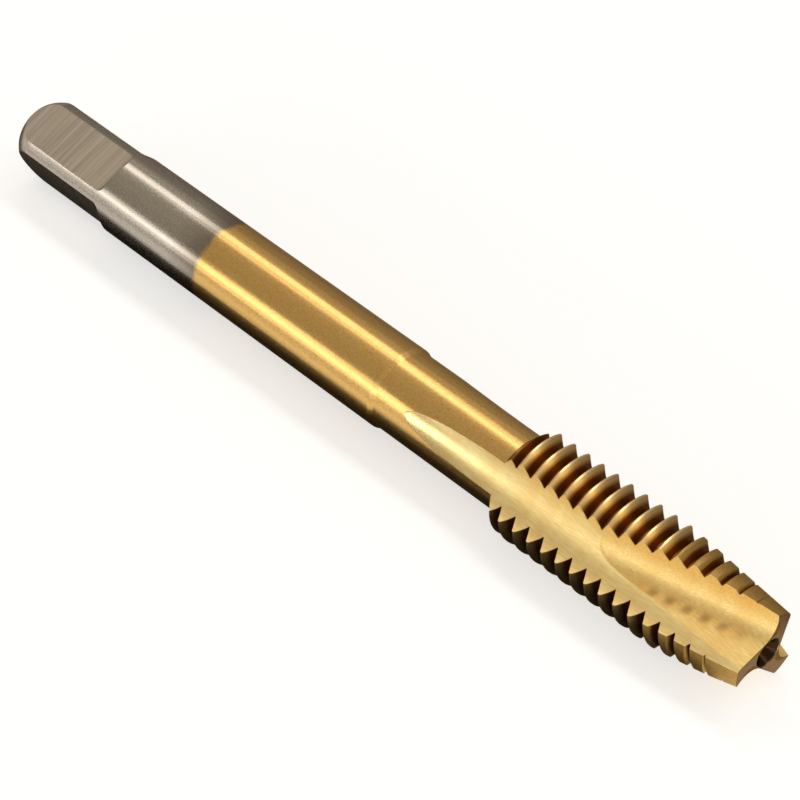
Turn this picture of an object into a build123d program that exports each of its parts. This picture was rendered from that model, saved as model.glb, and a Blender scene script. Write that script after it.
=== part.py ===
from build123d import *
import os
from math import acos, cos, degrees, radians, sin, tan

# Spiral-point machine tap, ground from one bar of high-speed steel.
#
# The axis is X, with the cutting end towards +X. The tap lies as it rests on a bench: one flute is
# straight down, so the edges of two lands carry it. The origin is on the axis, midway along the plain
# round of the shank, where a tap holder grips it. Angles round the axis are "clock" angles: 0 along +Y,
# 90 along +Z, growing the way a right-hand thread turns as it advances.

# ---- Driving dimensions, mm and degrees ------------------------------------------------------

overall_length = 70.0

# Shank, with its driving square
shank_diameter = 6.2
shank_length = 37.5            # from the driving end to the step down to the neck
step_length = 0.4              # short cone between shank and neck
neck_diameter = 5.88
square_across_flats = 5.0
square_length = 9.2            # full-depth flat, from the driving end
square_runout_radius = 0.8     # corner of the wheel that ground the flats
square_clock = 22.5            # outward direction of one flat
drive_end_diameter = 4.7       # flat left on the rounded driving end
drive_end_rounding = 1.9       # how far along the shank the rounding reaches

# Thread
thread_major_diameter = 8.0
thread_pitch = 1.25
thread_angle = 60.0
thread_depth = 0.9
thread_length = 21.1           # from the cutting end
thread_rear_chamfer = 0.9
thread_clock = -21.5           # where a crest crosses the plane of the cutting end

# Lead: a cone that lets the tap enter, each tooth cutting a little deeper than the last. Each land has
# its own cone, set off the axis so that the land falls away behind its cutting edge.
lead_length = 7.1
lead_end_diameter = 6.1
lead_relief = 0.3              # how far each cone is set off the axis

# Flutes
flute_count = 3
flute_clock = 30.0             # middle of one flute; another is then straight down
flute_web_radius = 2.4         # from the axis to the bottom of a flute
flute_form_radius = 2.5        # roundness of the wheel's rim
flute_wheel_radius = 60.0      # radius of the wheel, which shows where the flute runs out
flute_straight_length = 21.5   # full-depth flute, from the cutting end

# Spiral point: a two-sided notch in each flute, slanting in towards the cutting end
notch_length = 12.5            # from where it leaves the bottom of the flute to the cutting end
notch_start_offset = -0.2      # its corner there, across the middle of the flute
notch_end_offset = -1.63       # and at the cutting end
notch_end_height = -0.1        # height above the axis there, along the middle of the flute
notch_corner_radius = 1.5      # roundness of the rim of the wheel that ground it
notch_face_angle = -48.0       # cutting face, from the middle of the flute
notch_floor_angle = 43.5       # floor of the notch

# Centre holes, one in each end
centre_rim_diameter = 2.2
centre_angle = 60.0
centre_pilot_diameter = 0.8
centre_pilot_length = 0.8

cut_margin = 2.0               # how far a cutter reaches past what it cuts
groove_end_shifts = (0, 4, -4, 8, -8)    # where a turn of the thread may end, from a flute's middle

# ---- Stations along the axis -----------------------------------------------------------------

shank_radius = shank_diameter / 2
neck_radius = neck_diameter / 2
major_radius = thread_major_diameter / 2
square_end = square_length + square_runout_radius
origin_station = (square_end + shank_length) / 2

drive_end_x = -origin_station
cutting_end_x = overall_length - origin_station
step_x = shank_length - origin_station
thread_start_x = cutting_end_x - thread_length
lead_start_x = cutting_end_x - lead_length
flute_runout_x = cutting_end_x - flute_straight_length


def across(clock):
    """Plane square to the axis, its x direction at a clock angle and its normal along +X."""
    angle = radians(clock)
    return Plane(origin=(0, 0, 0), x_dir=(0, cos(angle), sin(angle)), z_dir=(1, 0, 0))


def along(clock):
    """Plane through the axis: its x direction is +X and its y direction is at a clock angle."""
    angle = radians(clock)
    return Plane(origin=(0, 0, 0), x_dir=(1, 0, 0), z_dir=(0, -sin(angle), cos(angle)))


def blank():
    """The turned and ground bar before the square, thread and flutes are cut."""
    end_corner = (drive_end_x, drive_end_diameter / 2)
    rounding_start = (drive_end_x + drive_end_rounding, shank_radius)
    rounding = TangentArc(rounding_start, end_corner, tangent=(-1, 0))
    sides = Polyline(
        end_corner,
        (drive_end_x, 0),
        (cutting_end_x, 0),
        (cutting_end_x, major_radius),
        (thread_start_x + thread_rear_chamfer, major_radius),
        (thread_start_x, neck_radius),
        (step_x + step_length, neck_radius),
        (step_x, shank_radius),
        rounding_start,
    )
    return revolve(along(flute_clock) * make_face(rounding + sides), Axis.X)


def flat_cutter(clock):
    """What the wheel takes off one side of the square, with its rounded run-out."""
    flat = square_across_flats / 2
    top = shank_radius + cut_margin
    start_x = drive_end_x - cut_margin
    flat_end_x = drive_end_x + square_length
    shoulder_x = flat_end_x + square_runout_radius
    runout = RadiusArc((flat_end_x, flat), (shoulder_x, flat + square_runout_radius), -square_runout_radius)
    sides = Polyline(
        (shoulder_x, flat + square_runout_radius),
        (shoulder_x, top),
        (start_x, top),
        (start_x, flat),
        (flat_end_x, flat),
    )
    return extrude(along(clock) * make_face(runout + sides), amount=shank_diameter, both=True)


def thread_groove(turn, end_clock):
    """One turn of the helical groove, counted from the cutting end; its two ends lie at end_clock."""
    root_radius = major_radius - thread_depth
    outer_radius = major_radius + thread_depth / 8
    slope = tan(radians(thread_angle / 2))
    crest_width = thread_pitch / 8
    outer_half = (thread_pitch - crest_width) / 2 + (outer_radius - major_radius) * slope
    root_half = outer_half - (outer_radius - root_radius) * slope
    path = Helix(pitch=thread_pitch, height=thread_pitch, radius=root_radius)
    section = Polyline(
        (root_radius, -root_half),
        (outer_radius, -outer_half),
        (outer_radius, outer_half),
        (root_radius, root_half),
        close=True,
    )
    groove = sweep(Plane.XZ * make_face(section), path=path, is_frenet=True)
    turns_back = turn + 0.5 - (end_clock - thread_clock) / 360
    return Location(across(end_clock).offset(cutting_end_x - turns_back * thread_pitch)) * groove


def cut_turn(body, turn):
    """The body with one more turn of thread. The cut's ends may lie anywhere in a flute's open middle."""
    for shift in groove_end_shifts:
        cut = body - thread_groove(turn, flute_clock + shift)
        if cut.volume > body.volume / 2:
            return cut
    return body


def flute_cutter(clock):
    """Path of the round-rimmed wheel: straight along the tap, then lifting out over the neck."""
    centre_height = flute_web_radius + flute_form_radius
    length = flute_straight_length + cut_margin
    rim = across(clock).offset(flute_runout_x) * Pos(centre_height, 0) * Circle(flute_form_radius)
    straight = extrude(rim, amount=length)
    rise = major_radius - flute_web_radius + cut_margin
    lift = degrees(acos(1 - rise / flute_wheel_radius))
    frame = along(clock)
    wheel_centre = frame.from_local_coords((flute_runout_x, flute_web_radius + flute_wheel_radius, 0))
    wheel_axis = Axis(wheel_centre, -frame.z_dir)
    return straight + revolve(rim, wheel_axis, revolution_arc=lift)


def lead_cutter(clock):
    """What comes off one land to leave its own cone; the clock angle is the middle of the land."""
    half_sector = radians(180 / flute_count)
    reach = major_radius + cut_margin
    start_x = lead_start_x - cut_margin
    length = lead_length + 2 * cut_margin
    sector = Polyline((0, 0), (reach, -reach * tan(half_sector)), (reach, reach * tan(half_sector)), close=True)
    slice_of_bar = extrude(across(clock).offset(start_x) * make_face(sector), amount=length)
    slope = (major_radius - lead_end_diameter / 2) / lead_length
    big_radius = major_radius + cut_margin * slope
    small_radius = big_radius - length * slope
    middle = across(clock).offset(start_x + length / 2) * Pos(0, lead_relief)
    return slice_of_bar - middle * Cone(big_radius, small_radius, length)


def notch_cutter(clock):
    """The spiral-point notch: two flat sides and a rounded corner, slanting towards the cutting end."""
    half_angle = radians(notch_floor_angle - notch_face_angle) / 2
    start_height = flute_web_radius - notch_corner_radius * (1 / sin(half_angle) - 1)
    height_rise = (start_height - notch_end_height) / notch_length
    offset_rise = (notch_start_offset - notch_end_offset) / notch_length
    reach = 2 * thread_major_diameter
    frame = across(clock).offset(cutting_end_x + cut_margin)
    corner = Vector(
        notch_end_height - cut_margin * height_rise,
        notch_end_offset - cut_margin * offset_rise,
    )
    face_end = corner + Vector(reach, 0).rotate(Axis.Z, notch_face_angle)
    floor_end = corner + Vector(reach, 0).rotate(Axis.Z, notch_floor_angle)
    section = make_face(Polyline(corner, face_end, floor_end, close=True))
    section = fillet(section.vertices().sort_by_distance(corner)[0], notch_corner_radius)
    slant = frame.x_dir * height_rise + frame.y_dir * offset_rise - frame.z_dir
    return extrude(frame * section, amount=(notch_length + 2 * cut_margin) * slant.length, dir=slant.normalized())


def centre_hole(end_x, inward):
    """A 60 degree centre with its pilot hole, cut into an end face along +X (1) or -X (-1)."""
    rim = centre_rim_diameter / 2
    pilot = centre_pilot_diameter / 2
    cone_length = (rim - pilot) / tan(radians(centre_angle / 2))
    outline = Polyline(
        (end_x, 0),
        (end_x, rim),
        (end_x + inward * cone_length, pilot),
        (end_x + inward * (cone_length + centre_pilot_length), pilot),
        (end_x + inward * (cone_length + centre_pilot_length), 0),
        close=True,
    )
    return revolve(make_face(outline), Axis.X)


def tap_body():
    """The finished tap."""
    body = blank()
    for side in range(4):
        body -= flat_cutter(square_clock + 90 * side)
    body -= centre_hole(drive_end_x, 1)
    body -= centre_hole(cutting_end_x, -1)
    for flute in range(flute_count):
        clock = flute_clock + 360 / flute_count * flute
        body -= flute_cutter(clock)
        body -= lead_cutter(clock + 180 / flute_count)
        body -= notch_cutter(clock)
    for turn in range(int(thread_length / thread_pitch) + 3):
        body = cut_turn(body, turn)
    return body


os.makedirs("parts", exist_ok=True)
export_step(tap_body(), "parts/tap_body.step")
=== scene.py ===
# A spiral-point machine tap with a golden coat over its front two thirds, lying on a white table.

import bpy
import math
from mathutils import Matrix, Vector


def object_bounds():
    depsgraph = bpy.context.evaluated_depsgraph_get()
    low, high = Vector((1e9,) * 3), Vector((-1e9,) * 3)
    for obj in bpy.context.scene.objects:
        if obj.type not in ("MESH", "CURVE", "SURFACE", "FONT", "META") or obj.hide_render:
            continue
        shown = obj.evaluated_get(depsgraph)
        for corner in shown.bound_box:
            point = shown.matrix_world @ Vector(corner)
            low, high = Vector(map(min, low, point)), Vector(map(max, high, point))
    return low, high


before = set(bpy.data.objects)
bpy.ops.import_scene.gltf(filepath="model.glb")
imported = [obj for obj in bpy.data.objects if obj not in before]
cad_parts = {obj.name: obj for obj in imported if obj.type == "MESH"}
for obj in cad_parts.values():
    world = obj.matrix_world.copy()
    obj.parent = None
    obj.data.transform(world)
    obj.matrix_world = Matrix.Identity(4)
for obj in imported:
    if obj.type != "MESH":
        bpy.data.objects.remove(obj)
CAD_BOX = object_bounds()
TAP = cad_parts["tap_body"]
MM = 0.001

# ---- Places on the tap, in metres ----------------------------------------------------------------
#
# The origin is on the axis, midway along the plain round of the shank, and the cutting end is towards
# +X. A pair is a soft edge: where a finish starts to show, and where it is whole.

# Stations along the axis
FADE = 0.1 * MM                # length of the soft edge between most ground surfaces
SQUARE_END_X = -13.6 * MM
COAT_EDGE_X = -3.75 * MM       # the golden coat starts 20 mm from the driving end
COAT_X = COAT_EDGE_X + 0.2 * MM, COAT_EDGE_X + 0.6 * MM
COAT_WANDER = 0.8 * MM         # how far that edge wanders in all
FILM_X = COAT_EDGE_X - 2.5 * MM, COAT_EDGE_X + 0.5 * MM
MATT_FLUTE_X = 18.0 * MM, 28.0 * MM        # the flutes turn from smooth to matt here
THREAD_START_X = 25.15 * MM
LEAD_START_X = 39.15 * MM
LEAD_X = LEAD_START_X - 1.0 * MM, LEAD_START_X
TIP_X = 46.25 * MM
FRONT_FACE_X = TIP_X - 0.03 * MM, TIP_X - 0.01 * MM
CENTRE_HOLE_X = TIP_X - 3.5 * MM, TIP_X - 3.4 * MM

# Radii from the axis
FLAT_RADII = 3.08 * MM, 3.05 * MM          # the flats of the square lie inside the round shank
FLUTED_NECK_RADII = 2.935 * MM, 2.92 * MM  # and the flutes inside the round neck
THREAD_RADII = 2.98 * MM, 3.05 * MM
# where painted shade darkens the thread towards its root, and where a painted highlight lightens its
# crests
PAINTED_ROOT_SHADE_RADII = 3.83 * MM, 3.5 * MM
CREST_HIGHLIGHT_RADII = 3.95 * MM, 3.99 * MM
CENTRE_HOLE_RADII = 1.12 * MM, 1.06 * MM

# Thread and lead
PITCH = 1.25 * MM
LEAD_RADIUS = 3.74 * MM        # of the relieved lands where the lead starts
LEAD_SLOPE = 0.134             # how fast they narrow from there
LEAD_HEIGHTS = -0.06 * MM, 0.06 * MM       # of a point over the relieved land

# The flutes, in each flute's own section
FLUTE_CLOCK = math.radians(30)
FLUTE_SPACING = math.radians(120)
FLUTE_CENTRE = 4.9 * MM        # from the axis to the middle of the flute's round section
FLUTE_RADIUS = 2.5 * MM
FLUTE_WHEEL = 60.0 * MM        # radius of the wheel, which lifts out over the neck
FLUTE_RUNOUT_X = 24.75 * MM
FLUTE_GAPS = 0.05 * MM, 0.03 * MM          # between a point and the round section

# The notches of the spiral point, in the same section
NOTCH_START_X = 33.75 * MM
NOTCH_HEIGHT = 1.806 * MM      # of the notch's corner where it starts, and how fast it falls
NOTCH_HEIGHT_FALL = 0.1525
NOTCH_OFFSET = -0.2 * MM
NOTCH_OFFSET_FALL = 0.1144
NOTCH_FACE = math.radians(-48)
NOTCH_FLOOR = math.radians(43.5)
NOTCH_EARLIEST = math.radians(-85)         # the notch reaches this far before the flute's middle
NOTCH_HEIGHTS = -0.06 * MM, -0.04 * MM     # of a point over the notch's sides
PAST_FLUTE = FLUTE_RADIUS + 0.01 * MM, FLUTE_RADIUS + 0.04 * MM

# The row of painted reflections of the teeth along the floor of each notch
TOOTH_REFLECTION_ROW = 1.55 * MM         # from the notch's corner
TOOTH_REFLECTION_WIDTHS = 0.5 * MM, 0.1 * MM
TOOTH_REFLECTION_X = 38.4 * MM           # station of one of them
TOOTH_REFLECTION_BEATS = -0.6, 1.0
FIRST_TOOTH_REFLECTIONS_X = 37.0 * MM, 38.5 * MM
LAST_TOOTH_REFLECTIONS_X = 45.5 * MM, 43.0 * MM
TOOTH_REFLECTION_STRENGTH = 0.6

# Marks of the grinding: how much of each axis they follow, how many there are to the metre across
# them, and the detail and roughness of the noise that draws them.
GRINDING_MARKS = {
    # fine grain, nine to the millimetre, which breaks up the highlights a little
    "grain": ((1.0, 1.0, 1.0), 9 / MM, 3.0, 0.6),
    # cloudy patches, 1.4 mm across, which make the edge of the coat wander
    "cloud": ((1.0, 1.0, 1.0), 0.7 / MM, 2.0, 0.5),
    # shallow waves along the shank, 0.7 mm apart, left by the centreless grinding
    "wave": ((0.02, 1.0, 1.0), 1.4 / MM, 1.0, 0.5),
    # hair lines that the wheel drew along the flutes, 0.03 mm wide and 0.8 mm long
    "hair": ((0.04, 1.0, 1.0), 30 / MM, 2.0, 0.5),
    # strokes straight across the square's flats, 0.3 mm apart
    "stroke": ((1.0, 0.02, 0.02), 3.5 / MM, 5.0, 0.65),
}
CHATTER = 0.6 / MM             # bands across the flutes, 1.7 mm apart, where the wheel chattered
MARK_SPREAD = 0.3, 0.7         # the low and the high values of most marks
HAIR_SPREAD = 0.35, 0.65
CHATTER_SPREAD = 0.35, 0.6
CHATTER_TONES = 0.6, 1.0
WAVE_DEPTH = 30.0              # of the waves, in depths of the coat's grain
HAIR_DEPTH = 1.8
STEEL_GRAIN_DEPTH = 0.3
RELIEF_STRENGTH = 0.12
RELIEF_DEPTH = 0.012 * MM

FILM_STRENGTH = 0.6
GRAIN_ROUGHNESS = 0.27, 0.33   # satin, from the smooth to the rough of the grain
FLUTE_ROUGHNESS = -0.04, 0.28  # more or less than that, from the flute's leaf to its deep part


def colour(code):
    """Linear RGBA from an sRGB hex code."""
    parts = [int(code[i:i + 2], 16) / 255 for i in (1, 3, 5)]
    return (*[p / 12.92 if p <= 0.04045 else ((p + 0.055) / 1.055) ** 2.4 for p in parts], 1.0)


def add(tree, kind, *in_order, by_name=None, **settings):
    """Adds a shader node with its settings.

    Its inputs come in order, or by name, and each is a value, a socket or a node's first output.
    """
    made = tree.nodes.new("ShaderNode" + kind)
    for name, setting in settings.items():
        setattr(made, name, setting)
    sources = list(zip([socket for socket in made.inputs if socket.enabled], in_order))
    sources += [(made.inputs[name], source) for name, source in (by_name or {}).items()]
    for socket, source in sources:
        if isinstance(source, bpy.types.Node):
            source = next(output for output in source.outputs if output.enabled)
        if isinstance(source, bpy.types.NodeSocket):
            tree.links.new(source, socket)
        else:
            socket.default_value = source
    return made


def new_material(name):
    """A material with an empty node tree."""
    material = bpy.data.materials.new(name)
    material.use_nodes = True
    material.node_tree.nodes.clear()
    return material, material.node_tree


# ---- Where a point is on the tap -----------------------------------------------------------------

def polar(tree, place):
    """A point's station along the axis, its radius from the axis and its clock angle round it."""
    axes = add(tree, "SeparateXYZ", place).outputs
    y_squared = add(tree, "Math", axes["Y"], 2.0, operation="POWER")
    z_squared = add(tree, "Math", axes["Z"], 2.0, operation="POWER")
    squared = add(tree, "Math", y_squared, z_squared, operation="ADD")
    radius = add(tree, "Math", squared, operation="SQRT")
    clock = add(tree, "Math", axes["Z"], axes["Y"], operation="ARCTAN2")
    return axes["X"], radius, clock


def flute_section(tree, radius, clock, earliest):
    """Height out along the middle of the point's flute, and offset from it.

    The third of the round that belongs to a flute starts at the earliest angle before its middle.
    """
    from_first = add(tree, "Math", clock, FLUTE_CLOCK, operation="SUBTRACT")
    turned = add(tree, "Math", from_first, earliest + FLUTE_SPACING, earliest, operation="WRAP")
    return [add(tree, "Math", radius, add(tree, "Math", turned, operation=side), operation="MULTIPLY")
            for side in ("COSINE", "SINE")]


def flute_surface(tree, station, radius, clock):
    """How much a point is on a flute, and how far it is from the middle of its round section."""
    height, offset = flute_section(tree, radius, clock, -FLUTE_SPACING / 2)
    before_runout = add(tree, "Math", FLUTE_RUNOUT_X, station, operation="SUBTRACT")
    runout = add(tree, "Math", before_runout, 0.0, operation="MAXIMUM")
    runout_squared = add(tree, "Math", runout, runout, operation="MULTIPLY")
    lift = add(tree, "Math", runout_squared, 2 * FLUTE_WHEEL, operation="DIVIDE")
    centre = add(tree, "Math", lift, FLUTE_CENTRE, operation="ADD")
    below = add(tree, "Math", centre, height, operation="SUBTRACT")
    below_squared = add(tree, "Math", below, below, operation="MULTIPLY")
    offset_squared = add(tree, "Math", offset, offset, operation="MULTIPLY")
    squared = add(tree, "Math", below_squared, offset_squared, operation="ADD")
    from_centre = add(tree, "Math", squared, operation="SQRT")
    to_section = add(tree, "Math", from_centre, FLUTE_RADIUS, operation="SUBTRACT")
    gap = add(tree, "Math", to_section, operation="ABSOLUTE")
    # on the neck, only what lies below the turned surface
    in_neck = add(tree, "MapRange", radius, *FLUTED_NECK_RADII)
    past_neck = add(tree, "MapRange", station, THREAD_START_X, THREAD_START_X + FADE)
    cut = add(tree, "Math", in_neck, past_neck, operation="MAXIMUM")
    flute = add(tree, "Math", add(tree, "MapRange", gap, *FLUTE_GAPS), cut, operation="MULTIPLY")
    return flute, from_centre


def notch_section(tree, station, radius, clock):
    """Height and offset of a point from the corner of its notch, which slants across the flute."""
    height, offset = flute_section(tree, radius, clock, NOTCH_EARLIEST)
    along = add(tree, "Math", station, NOTCH_START_X, operation="SUBTRACT")
    fall = add(tree, "Math", along, NOTCH_HEIGHT_FALL, -NOTCH_HEIGHT, operation="MULTIPLY_ADD")
    slant = add(tree, "Math", along, NOTCH_OFFSET_FALL, -NOTCH_OFFSET, operation="MULTIPLY_ADD")
    height = add(tree, "Math", height, fall, operation="ADD")
    return height, add(tree, "Math", offset, slant, operation="ADD")


def notch_surface(tree, station, height, offset, from_centre):
    """How much a point is on one of the notch's two sides."""
    rise = add(tree, "Math", height, -math.sin(NOTCH_FACE), operation="MULTIPLY")
    over_face = add(tree, "Math", offset, math.cos(NOTCH_FACE), rise, operation="MULTIPLY_ADD")
    rise = add(tree, "Math", height, math.sin(NOTCH_FLOOR), operation="MULTIPLY")
    over_floor = add(tree, "Math", offset, -math.cos(NOTCH_FLOOR), rise, operation="MULTIPLY_ADD")
    over_sides = add(tree, "Math", over_face, over_floor, operation="MINIMUM")
    started = add(tree, "MapRange", station, NOTCH_START_X - FADE, NOTCH_START_X)
    in_sides = add(tree, "MapRange", over_sides, *NOTCH_HEIGHTS)
    notch = add(tree, "Math", in_sides, started, operation="MULTIPLY")
    past_flute = add(tree, "MapRange", from_centre, *PAST_FLUTE)
    return add(tree, "Math", notch, past_flute, operation="MULTIPLY")


def painted_tooth_reflections(tree, station, height, offset):
    """A row of faint painted reflections of the teeth along the floor of the notch, one to each turn of
    the thread.
    """
    across = add(tree, "Math", offset, math.sin(NOTCH_FLOOR), operation="MULTIPLY")
    along_floor = add(tree, "Math", height, math.cos(NOTCH_FLOOR), across, operation="MULTIPLY_ADD")
    to_row = add(tree, "Math", along_floor, TOOTH_REFLECTION_ROW, operation="SUBTRACT")
    row = add(tree, "MapRange", add(tree, "Math", to_row, operation="ABSOLUTE"), *TOOTH_REFLECTION_WIDTHS)
    from_tooth_reflection = add(tree, "Math", station, TOOTH_REFLECTION_X, operation="SUBTRACT")
    phase = add(tree, "Math", from_tooth_reflection, 2 * math.pi / PITCH, operation="MULTIPLY")
    beat = add(tree, "MapRange", add(tree, "Math", phase, operation="COSINE"), *TOOTH_REFLECTION_BEATS)
    first = add(tree, "MapRange", station, *FIRST_TOOTH_REFLECTIONS_X)
    last = add(tree, "MapRange", station, *LAST_TOOTH_REFLECTIONS_X, 0.0, TOOTH_REFLECTION_STRENGTH)
    shown = add(tree, "Math", first, last, operation="MULTIPLY")
    tooth_reflection = add(tree, "Math", row, beat, operation="MULTIPLY")
    return add(tree, "Math", tooth_reflection, shown, operation="MULTIPLY")


def land_surfaces(tree, station, radius, on_land):
    """How much a point is on the thread, and how much on the relieved cone of the lead."""
    in_thread = add(tree, "MapRange", station, THREAD_START_X - FADE, THREAD_START_X)
    off_root = add(tree, "MapRange", radius, *THREAD_RADII)
    thread = add(tree, "Math", in_thread, off_root, operation="MULTIPLY")
    past_start = add(tree, "Math", station, LEAD_START_X, operation="SUBTRACT")
    land_radius = add(tree, "Math", past_start, -LEAD_SLOPE, LEAD_RADIUS, operation="MULTIPLY_ADD")
    over_land = add(tree, "Math", radius, land_radius, operation="SUBTRACT")
    in_lead = add(tree, "MapRange", station, *LEAD_X)
    on_cone = add(tree, "MapRange", over_land, *LEAD_HEIGHTS)
    lead = add(tree, "Math", in_lead, on_cone, operation="MULTIPLY")
    return [add(tree, "Math", surface, on_land, operation="MULTIPLY") for surface in (thread, lead)]


def surfaces(tree, place):
    """How much a point is on each ground surface, from 0 to 1, with its station and radius."""
    station, radius, clock = polar(tree, place)
    flute, from_centre = flute_surface(tree, station, radius, clock)
    height, offset = notch_section(tree, station, radius, clock)
    notch = notch_surface(tree, station, height, offset, from_centre)
    channel = add(tree, "Math", flute, notch, operation="MAXIMUM")
    on_land = add(tree, "Math", 1.0, channel, operation="SUBTRACT")
    thread, lead = land_surfaces(tree, station, radius, on_land)

    in_square = add(tree, "MapRange", station, SQUARE_END_X, SQUARE_END_X - FADE)
    in_round = add(tree, "MapRange", radius, *FLAT_RADII)
    square_flat = add(tree, "Math", in_square, in_round, operation="MULTIPLY")
    front_face = add(tree, "MapRange", station, *FRONT_FACE_X)
    near_axis = add(tree, "MapRange", radius, *CENTRE_HOLE_RADII)
    in_depth = add(tree, "MapRange", station, *CENTRE_HOLE_X)
    centre_hole = add(tree, "Math", near_axis, in_depth, operation="MULTIPLY")
    off_notch = add(tree, "Math", 1.0, notch, operation="SUBTRACT")
    return {
        "station": station,
        "radius": radius,
        "square flat": square_flat,
        "flute": flute,
        "notch": notch,
        "tooth_reflection": painted_tooth_reflections(tree, station, height, offset),
        "channel": channel,
        "thread": thread,
        "matt end": add(tree, "Math", lead, front_face, operation="MAXIMUM"),
        "front face": front_face,
        "centre hole": add(tree, "Math", centre_hole, off_notch, operation="MULTIPLY"),
    }


# ---- Finish of the tap ---------------------------------------------------------------------------

def grinding_marks(tree, place, station):
    """The patterns that the grinding wheels left, each a noise from 0 to 1."""
    marks = {}
    for name, (stretch, scale, detail, roughness) in GRINDING_MARKS.items():
        stretched = add(tree, "VectorMath", place, stretch, operation="MULTIPLY")
        marks[name] = add(tree, "TexNoise", by_name={
            "Vector": stretched, "Scale": scale, "Detail": detail, "Roughness": roughness})
    beat = add(tree, "Math", station, CHATTER, operation="MULTIPLY")
    marks["chatter"] = add(tree, "TexNoise", noise_dimensions="1D", by_name={
        "W": beat, "Scale": 1.0, "Detail": 2.0})
    marks["grain tone"] = add(tree, "MapRange", marks["grain"], *MARK_SPREAD)
    return marks


def steel_tone(tree, on, marks, film):
    """Warm grey of bare ground steel, paler on the square's flats, under a brown film near the coat."""
    steel = add(tree, "Mix", marks["grain tone"], colour("#AEA496"), colour("#C8BEB0"), data_type="RGBA")
    steel = add(tree, "Mix", film, steel, colour("#6E5B47"), data_type="RGBA")
    strokes = add(tree, "MapRange", marks["stroke"], *MARK_SPREAD)
    flats = add(tree, "Mix", strokes, colour("#B6A898"), colour("#ECE0D0"), data_type="RGBA")
    return add(tree, "Mix", on["square flat"], steel, flats, data_type="RGBA")


def coat_tone(tree, on, marks):
    """Gold of the coat: bright in the ground flutes, brown painted shade in the thread's root, bronze on
    the lead.
    """
    gold = add(tree, "Mix", marks["grain tone"], colour("#DEAC5C"), colour("#F2CA80"), data_type="RGBA")
    # painted shade darkens the thread to brown towards its root, and a painted highlight lightens the
    # crests
    root = add(tree, "MapRange", on["radius"], *PAINTED_ROOT_SHADE_RADII)
    thread = add(tree, "Mix", root, colour("#F4D290"), colour("#8A5A2C"), data_type="RGBA")
    crest = add(tree, "MapRange", on["radius"], *CREST_HIGHLIGHT_RADII)
    thread = add(tree, "Mix", crest, thread, colour("#FFE0A0"), data_type="RGBA")
    hair = add(tree, "MapRange", marks["hair"], *HAIR_SPREAD)
    chatter = add(tree, "MapRange", marks["chatter"], *CHATTER_SPREAD, *CHATTER_TONES)
    lines = add(tree, "Math", hair, chatter, operation="MULTIPLY")
    flute = add(tree, "Mix", lines, colour("#F4D088"), colour("#FFF0B0"), data_type="RGBA")
    notch = add(tree, "Mix", lines, colour("#F4CC80"), colour("#FFEEA8"), data_type="RGBA")
    # painted reflections of the teeth: brown spots along the notch's floor, one to each turn of the
    # thread
    notch = add(tree, "Mix", on["tooth_reflection"], notch, colour("#B08450"), data_type="RGBA")
    bronze = add(tree, "Mix", marks["grain tone"], colour("#AE8A4C"), colour("#CBA35C"), data_type="RGBA")
    layers = (
        ("thread", thread),
        ("flute", flute),
        ("notch", notch),
        ("matt end", bronze),
        ("front face", colour("#84622F")),
        # painted shade: the centre hole is coloured near-black brown for the shade inside it
        ("centre hole", colour("#3A2A18")),
    )
    for surface, tone in layers:
        gold = add(tree, "Mix", on[surface], gold, tone, data_type="RGBA")
    return gold


def tap_roughness(tree, on, marks, coat):
    """Satin, from about 0.3 on the round shank to nearly matt in the notches and on the lead."""
    flute = add(tree, "MapRange", on["station"], *MATT_FLUTE_X, *FLUTE_ROUGHNESS)
    bare = add(tree, "Math", 1.0, coat, operation="SUBTRACT")
    rough = add(tree, "MapRange", marks["grain"], *MARK_SPREAD, *GRAIN_ROUGHNESS)
    rougher = (
        (on["matt end"], 0.18),
        (on["square flat"], 0.08),
        (on["flute"], flute),
        (on["notch"], 0.3),
        (on["thread"], 0.02),
        (bare, -0.02),
    )
    for surface, more in rougher:
        rough = add(tree, "Math", surface, more, rough, operation="MULTIPLY_ADD")
    return rough


def tap_relief(tree, on, marks, coat):
    """Waves and grain on the round, hair lines in the flutes, strokes on the flats, a plain thread."""
    depth = add(tree, "MapRange", coat, 0.0, 1.0, STEEL_GRAIN_DEPTH, 1.0)
    grain = add(tree, "Math", marks["grain"], depth, operation="MULTIPLY")
    relief = add(tree, "Math", marks["wave"], WAVE_DEPTH, grain, operation="MULTIPLY_ADD")
    off_thread = add(tree, "Math", 1.0, on["thread"], operation="SUBTRACT")
    relief = add(tree, "Math", relief, off_thread, operation="MULTIPLY")
    hair = add(tree, "Math", marks["hair"], HAIR_DEPTH, operation="MULTIPLY")
    for mark, surface in ((hair, on["channel"]), (marks["stroke"], on["square flat"])):
        change = add(tree, "Math", mark, relief, operation="SUBTRACT")
        change = add(tree, "Math", change, surface, operation="MULTIPLY")
        relief = add(tree, "Math", relief, change, operation="ADD")
    return add(tree, "Bump", by_name={
        "Height": relief, "Strength": RELIEF_STRENGTH, "Distance": RELIEF_DEPTH})


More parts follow.
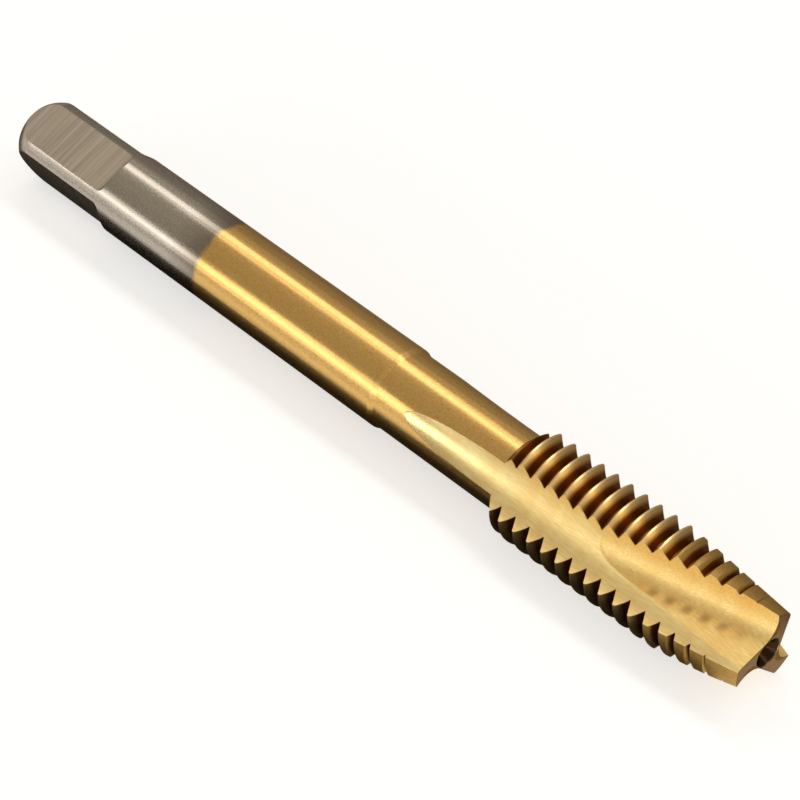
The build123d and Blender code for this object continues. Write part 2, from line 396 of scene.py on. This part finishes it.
def tap_finish():
    """Golden titanium nitride over ground high-speed steel, with the driving end left bare."""
    # It gives a satin metal with long soft highlights, gold in front and warm grey behind.
    material, tree = new_material("coated high-speed steel")
    place = add(tree, "TexCoord").outputs["Object"]
    on = surfaces(tree, place)
    marks = grinding_marks(tree, place, on["station"])
    # the coat's edge wanders a little round the shank, and the steel behind it has a brown film
    edge = add(tree, "Math", marks["cloud"], COAT_WANDER, on["station"], operation="MULTIPLY_ADD")
    coat = add(tree, "MapRange", edge, *COAT_X)
    film = add(tree, "MapRange", edge, *FILM_X, 0.0, FILM_STRENGTH)
    steel = steel_tone(tree, on, marks, film)
    metal = add(tree, "BsdfPrincipled", by_name={
        "Base Color": add(tree, "Mix", coat, steel, coat_tone(tree, on, marks), data_type="RGBA"),
        "Metallic": 1.0,
        "Roughness": tap_roughness(tree, on, marks, coat),
        "Normal": tap_relief(tree, on, marks, coat),
    })
    add(tree, "OutputMaterial", metal)
    return material


TAP.data.materials.clear()
TAP.data.materials.append(tap_finish())


# ---- Table, cards and light ----------------------------------------------------------------------

TABLE_REACH = 20.0
TABLE_GLOW = 0.6               # what the white table adds to itself where it is seen
CARD_LIFT = 0.05 * MM          # of the cards over the table
# Felt cards on the table, seen in reflections alone: they darken the metal's lower side
CARDS = (
    ("near card", "black felt", "#231D17", (-60 * MM, -8 * MM), (44 * MM, 5 * MM)),
    ("far card", "grey felt", "#8C8074", (-400 * MM, 5 * MM), (400 * MM, 400 * MM)),
    ("strip card", "pale grey felt", "#9A9184", (-400 * MM, -50 * MM), (400 * MM, -20 * MM)),
)
SKY_HEIGHTS = 0.1, 1.0         # from just over the horizon to straight overhead
SKY_STRENGTHS = 0.22, 0.5
LAMP_DISTANCE = 0.3
ALONG_TAP = Vector((1, 0, 0))
ACROSS_TAP = Vector((0, 1, 0))


def sheet(name, material, low, high, height):
    """A level rectangle from its low corner to its high corner."""
    mesh = bpy.data.meshes.new(name)
    corners = [(low[0], low[1], height), (high[0], low[1], height),
               (high[0], high[1], height), (low[0], high[1], height)]
    mesh.from_pydata(corners, [], [(0, 1, 2, 3)])
    mesh.materials.append(material)
    made = bpy.data.objects.new(name, mesh)
    bpy.context.scene.collection.objects.link(made)
    return made


def table(height):
    """Matt white paper, which shows white to the eye and in reflections and keeps the tap's shadow."""
    material, tree = new_material("white table")
    rays = add(tree, "LightPath").outputs
    seen = add(tree, "Math", rays["Is Camera Ray"], rays["Is Glossy Ray"], operation="MAXIMUM")
    seen = add(tree, "Math", seen, rays["Is Transmission Ray"], operation="MAXIMUM")
    paper = add(tree, "BsdfDiffuse", colour("#CCCCCC"))
    strength = add(tree, "Math", seen, TABLE_GLOW, operation="MULTIPLY")
    glow = add(tree, "Emission", colour("#FFFFFF"), strength)
    add(tree, "OutputMaterial", add(tree, "AddShader", paper, glow))
    sheet("table", material, (-TABLE_REACH, -TABLE_REACH), (TABLE_REACH, TABLE_REACH), height)


def cards(height):
    """The felt cards, out of sight of the camera and without a shadow."""
    for name, felt, tone, low, high in CARDS:
        material, tree = new_material(felt)
        add(tree, "OutputMaterial", add(tree, "BsdfDiffuse", colour(tone)))
        card = sheet(name, material, low, high, height)
        card.visible_camera = False
        card.visible_diffuse = False
        card.visible_shadow = False


def sky():
    """Warm white light from all round, dim at the horizon and stronger from above."""
    world = bpy.data.worlds.new("studio")
    bpy.context.scene.world = world
    world.use_nodes = True
    tree = world.node_tree
    tree.nodes.clear()
    direction = add(tree, "TexCoord").outputs["Generated"]
    height = add(tree, "SeparateXYZ", direction).outputs["Z"]
    strength = add(tree, "MapRange", height, *SKY_HEIGHTS, *SKY_STRENGTHS)
    add(tree, "OutputWorld", add(tree, "Background", colour("#FFF4E2"), strength))


def beside(angle):
    """A lamp's place beside the tap, at an angle from +Y over the top to -Y."""
    turn = math.radians(angle)
    return Vector((0, math.cos(turn), math.sin(turn))) * LAMP_DISTANCE


def lamp(name, place, side, length, width, radiance):
    """A soft rectangular lamp at a place, facing the middle of the tap, with its length along side."""
    data = bpy.data.lights.new(name, "AREA")
    data.shape = "RECTANGLE"
    data.size = length
    data.size_y = width
    data.energy = radiance * math.pi * width * length
    made = bpy.data.objects.new(name, data)
    bpy.context.scene.collection.objects.link(made)
    outward = place.normalized()
    turned = Matrix((side, outward.cross(side), outward)).transposed().to_4x4()
    made.matrix_world = Matrix.Translation(place) @ turned


TABLE_HEIGHT = CAD_BOX[0].z
table(TABLE_HEIGHT)
cards(TABLE_HEIGHT + CARD_LIFT)
sky()
lamp("back strip", beside(67), ALONG_TAP, length=0.7, width=0.065, radiance=2.8)
lamp("front box", beside(168), ALONG_TAP, length=0.7, width=0.08, radiance=3.0)
lamp("end box", Vector((0.5, 0, 0.1)), ACROSS_TAP, length=0.6, width=0.3, radiance=1.0)

# ---- Camera --------------------------------------------------------------------------------------

CAMERA_PLACE = Vector((116.635, -103.825, 137.780)) * MM
CAMERA_RIGHT = Vector((0.697592, 0.716246, 0.018882))
CAMERA_UP = Vector((-0.503025, 0.470818, 0.724773))

camera_data = bpy.data.cameras.new("camera")
camera_data.sensor_width = 36.0
camera_data.lens = 134.76
camera_data.clip_start = 10 * MM
camera = bpy.data.objects.new("camera", camera_data)
bpy.context.scene.collection.objects.link(camera)
camera.matrix_world = Matrix.Translation(CAMERA_PLACE) @ Matrix(
    (CAMERA_RIGHT, CAMERA_UP, CAMERA_RIGHT.cross(CAMERA_UP))).transposed().to_4x4()
bpy.context.scene.camera = camera
bpy.context.scene.view_settings.view_transform = "Standard"
